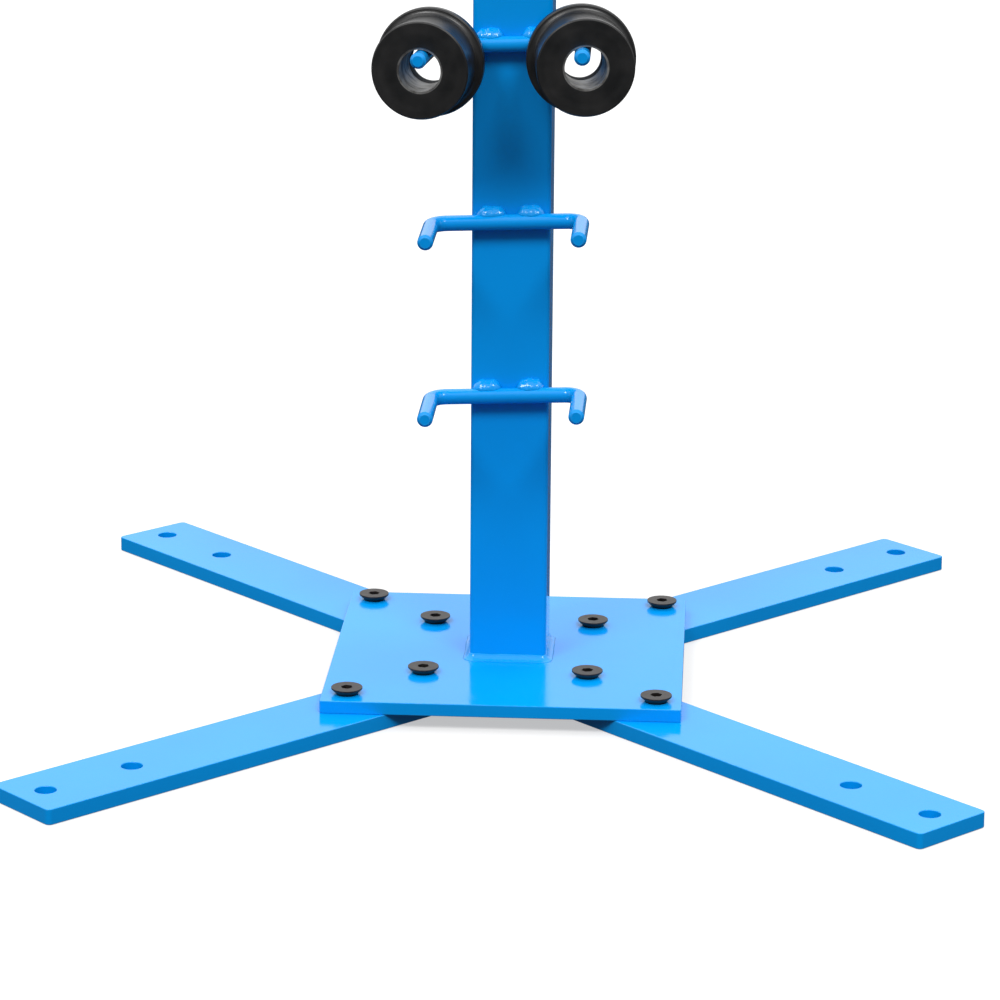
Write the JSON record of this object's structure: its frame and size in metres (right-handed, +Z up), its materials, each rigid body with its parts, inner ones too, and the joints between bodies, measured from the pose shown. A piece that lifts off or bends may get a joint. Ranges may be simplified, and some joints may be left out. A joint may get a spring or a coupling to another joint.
{
  "type": "pedestal tool stand",
  "caption": "Square-post pedestal on a base plate with screwed-on flat legs, welded bent-rod hooks that hold grooved rollers, and a top mounting plate.",
  "frame": {"origin": "on the floor under the middle of the post", "axes": "+Z up along the post, -Y towards the side with the hooks, +X to the right seen from that side"},
  "size_m": [0.7122, 0.7122, 0.8],
  "materials": {
    "blue_paint": "glossy blue powder coat",
    "black_screw": "black oxide",
    "roller_black": "black finish on turned steel",
    "bush_steel": "bare turned steel"
  },
  "bodies": {
    "stand": {"post_tube": "blue_paint", "base_plate": "blue_paint", "top_plate": "blue_paint", "foot_weld": "blue_paint", "top_weld": "blue_paint", "leg_front_left": "blue_paint", "leg_front_right": "blue_paint", "leg_back_left": "blue_paint", "leg_back_right": "blue_paint", "screw_front_left_inner": "black_screw", "screw_front_left_outer": "black_screw", "screw_front_right_inner": "black_screw", "screw_front_right_outer": "black_screw", "screw_back_left_inner": "black_screw", "screw_back_left_outer": "black_screw", "screw_back_right_inner": "black_screw", "screw_back_right_outer": "black_screw", "hook_lower": "blue_paint", "hook_middle": "blue_paint", "hook_top": "blue_paint", "weld_hook_lower": "blue_paint", "weld_hook_middle": "blue_paint", "weld_hook_top": "blue_paint"},
    "bush_left": {"bush_left": "bush_steel"},
    "roller_left": {"roller_left": "roller_black"},
    "bush_right": {"bush_right": "bush_steel"},
    "roller_right": {"roller_right": "roller_black"}
  },
  "joints": [
    {"name": "left_slide_off", "type": "slide", "parent": "stand", "child": "bush_left", "axis": [-0.1045, -0.9945, -0.004], "range_m": [0, 0.09]},
    {"name": "left_roller_spin", "type": "hinge", "parent": "bush_left", "child": "roller_left", "pos_m": [-0.062, -0.06684, 0.49837], "axis": [-0.1305, -0.9914, 0], "continuous": true},
    {"name": "right_slide_off", "type": "slide", "parent": "stand", "child": "bush_right", "axis": [0.0174, -0.9998, 0.0007], "range_m": [0, 0.09]},
    {"name": "right_roller_spin", "type": "hinge", "parent": "bush_right", "child": "roller_right", "pos_m": [0.05431, -0.06799, 0.50284], "axis": [0.1305, -0.9914, 0], "continuous": true}
  ]
}
